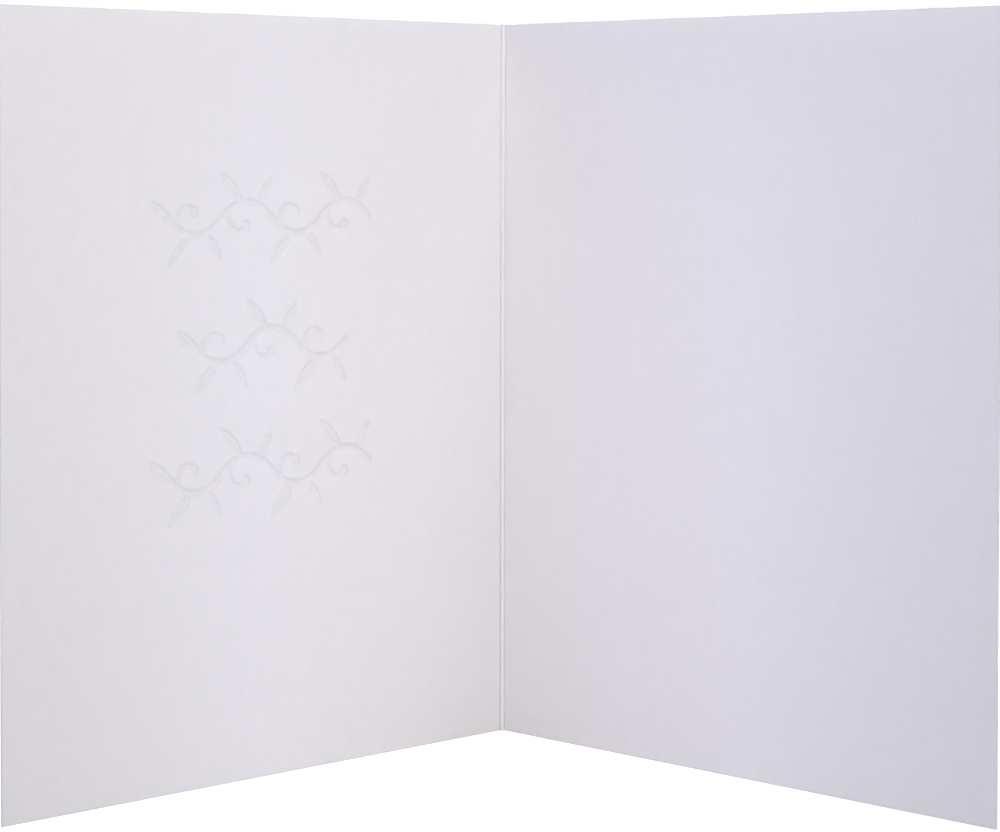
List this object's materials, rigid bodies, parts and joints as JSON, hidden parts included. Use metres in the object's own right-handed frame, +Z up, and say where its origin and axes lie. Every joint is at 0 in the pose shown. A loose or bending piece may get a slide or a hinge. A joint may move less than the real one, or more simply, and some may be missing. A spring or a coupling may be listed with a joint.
{
  "type": "greeting card",
  "caption": "Square folded greeting card standing open on its bottom edges, with embossed sprigs on the front cover and a plain inside.",
  "frame": {"origin": "foot of the crease, on the bottom edge of the sheet and midway between the two covers", "axes": "+Z up along the crease; the covers open towards -Y; +X towards the back cover, -X towards the embossed front cover"},
  "size_m": [0.194, 0.1275, 0.16],
  "materials": {
    "card_board": "matte"
  },
  "bodies": {
    "root": {"card": "card_board"}
  },
  "joints": []
}
